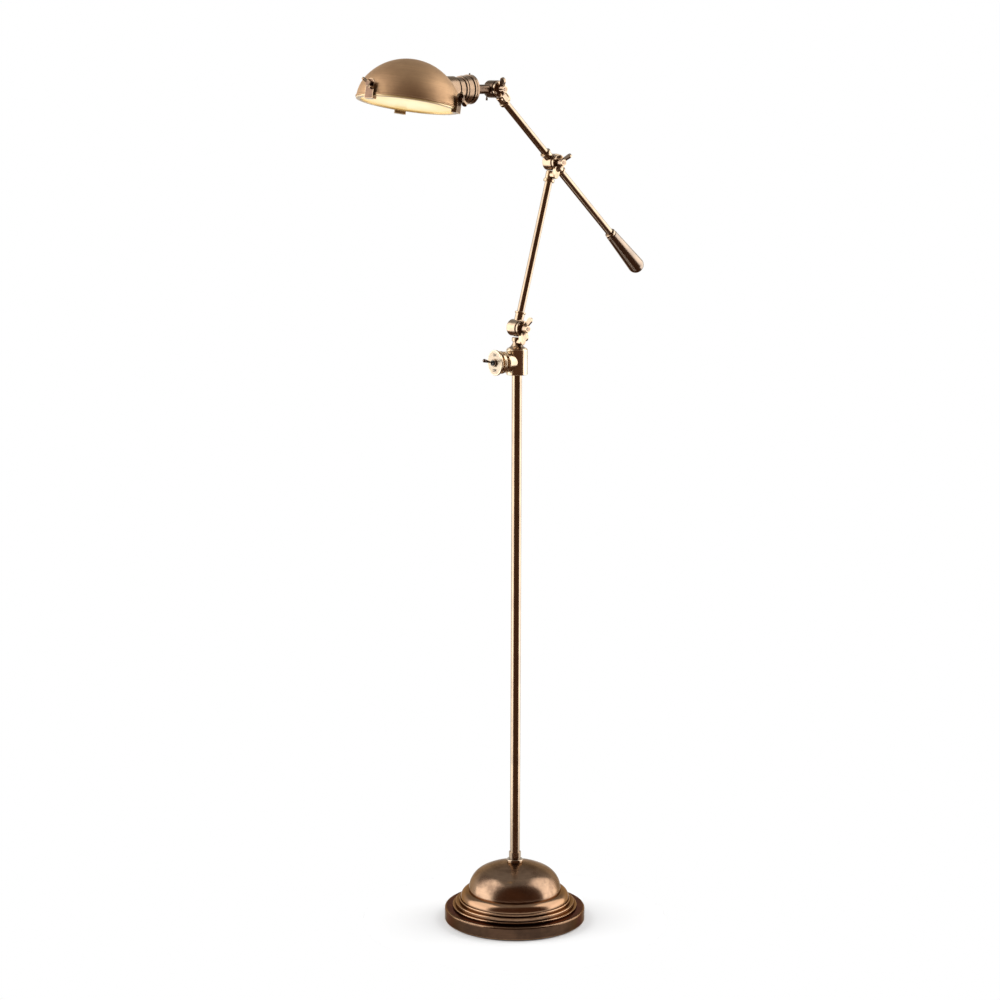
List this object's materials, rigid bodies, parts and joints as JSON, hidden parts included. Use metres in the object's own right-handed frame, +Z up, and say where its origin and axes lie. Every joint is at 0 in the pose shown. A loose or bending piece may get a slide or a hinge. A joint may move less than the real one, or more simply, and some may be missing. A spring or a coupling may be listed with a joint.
{
  "type": "floor lamp",
  "caption": "Brass floor lamp with a weighted domed base, toggle switch on the pole, knuckled swing arm with a counterweight grip and a dome shade closed by a glass lens.",
  "frame": {"origin": "centre of the base's underside, on the floor", "axes": "+Z up along the pole; -X towards the shade in the stored pose; -Y towards the wing nuts"},
  "size_m": [0.5999, 0.24, 1.46],
  "materials": {
    "felt": "dark felt",
    "iron": "raw casting",
    "base_brass": "dark antique brass, lacquered",
    "pole_brass": "dark antique brass, lacquered",
    "steel": "plain turned steel",
    "gland_rubber": "moulded black",
    "fitting_brass": "antique brass, dark in the grooves",
    "plate_brass": "brushed antique brass",
    "switch_metal": "darkened brass",
    "switch_plastic": "moulded black",
    "washer_fibre": "fibre",
    "wing_brass": "antique brass, worn pale on the edges",
    "tube_brass": "drawn tube, antique brass",
    "grip_brass": "antique brass, smooth",
    "bulb_cap_metal": "pressed metal",
    "bulb_glass": "frosted",
    "shade_brass": "spun and brushed antique brass",
    "lens_ring_brass": "antique brass",
    "lens_glass": "clear pressed glass",
    "clip_brass": "antique brass"
  },
  "bodies": {
    "stand": {"felt_pad": "felt", "iron_weight": "iron", "base_foot": "base_brass", "base_dome": "base_brass", "pole_collar": "pole_brass", "pole": "pole_brass", "base_washer": "steel", "base_nut": "steel", "cord_gland": "gland_rubber", "switch_body": "fitting_brass", "switch_plate": "plate_brass", "switch_nut": "switch_metal", "switch_case": "switch_plastic"},
    "toggle": {"switch_lever": "switch_metal"},
    "neck": {"neck": "fitting_brass", "swivel_nut": "steel", "lower_bolt": "fitting_brass", "lower_washer": "washer_fibre"},
    "lower_nut": {"lower_wing_nut": "wing_brass"},
    "lower_arm": {"lower_eye": "fitting_brass", "lower_tube": "tube_brass", "lower_cheek": "fitting_brass", "mid_bolt": "fitting_brass", "mid_washer": "washer_fibre"},
    "mid_nut": {"mid_wing_nut": "wing_brass"},
    "upper_arm": {"mid_tee": "fitting_brass", "upper_tube": "tube_brass", "rear_rod": "tube_brass", "grip_collar": "grip_brass", "counterweight_grip": "grip_brass", "upper_cheek": "fitting_brass", "top_bolt": "fitting_brass", "top_washer": "washer_fibre"},
    "top_nut": {"top_wing_nut": "wing_brass"},
    "head": {"head_eye": "fitting_brass", "socket_cup": "fitting_brass", "head_screws": "steel", "lamp_holder": "switch_plastic", "bulb_cap": "bulb_cap_metal", "bulb_glass": "bulb_glass", "shade": "shade_brass", "lens_ring": "lens_ring_brass", "lens_glass": "lens_glass", "lens_clips": "clip_brass", "clip_bosses": "shade_brass"},
    "clip_screw_front": {"clip_screw_front": "clip_brass"},
    "clip_screw_near": {"clip_screw_near": "clip_brass"},
    "clip_screw_far": {"clip_screw_far": "clip_brass"}
  },
  "joints": [
    {"name": "toggle_tip", "type": "hinge", "parent": "stand", "child": "toggle", "pos_m": [-0.04566, 0.00561, 0.9644], "axis": [-0.1219, -0.9925, 0], "range_deg": [0, 30]},
    {"name": "neck_swivel", "type": "hinge", "parent": "stand", "child": "neck", "pos_m": [0, 0, 0.985], "axis": [0, 0, 1], "range_deg": [-150, 150]},
    {"name": "lower_tilt", "type": "hinge", "parent": "neck", "child": "lower_arm", "pos_m": [0, 0, 1.02], "axis": [0, 1, 0], "range_deg": [-75, 45]},
    {"name": "lower_nut_turn", "type": "hinge", "parent": "neck", "child": "lower_nut", "pos_m": [0, 0, 1.02], "axis": [0, -1, 0], "range_deg": [0, 180]},
    {"name": "mid_tilt", "type": "hinge", "parent": "lower_arm", "child": "upper_arm", "pos_m": [0.07648, 0, 1.29029], "axis": [0, -1, 0], "range_deg": [-8, 60]},
    {"name": "mid_nut_turn", "type": "hinge", "parent": "lower_arm", "child": "mid_nut", "pos_m": [0.07648, 0, 1.29029], "axis": [0, -1, 0], "range_deg": [0, 180]},
    {"name": "head_tilt", "type": "hinge", "parent": "upper_arm", "child": "head", "pos_m": [-0.05096, 0, 1.4108], "axis": [0, 1, 0], "range_deg": [-55, 60]},
    {"name": "top_nut_turn", "type": "hinge", "parent": "upper_arm", "child": "top_nut", "pos_m": [-0.05096, 0, 1.4108], "axis": [0, -1, 0], "range_deg": [0, 180]},
    {"name": "clip_screw_front_turn", "type": "hinge", "parent": "head", "child": "clip_screw_front", "pos_m": [-0.22597, -0.00021, 1.404], "axis": [-0.9736, -0.1069, 0.2015], "range_deg": [0, 180]},
    {"name": "clip_screw_near_turn", "type": "hinge", "parent": "head", "child": "clip_screw_near", "pos_m": [-0.22597, -0.00021, 1.404], "axis": [0.49, -0.8687, -0.0724], "range_deg": [0, 180]},
    {"name": "clip_screw_far_turn", "type": "hinge", "parent": "head", "child": "clip_screw_far", "pos_m": [-0.22597, -0.00021, 1.404], "axis": [0.49, 0.8625, -0.1268], "range_deg": [0, 180]}
  ]
}
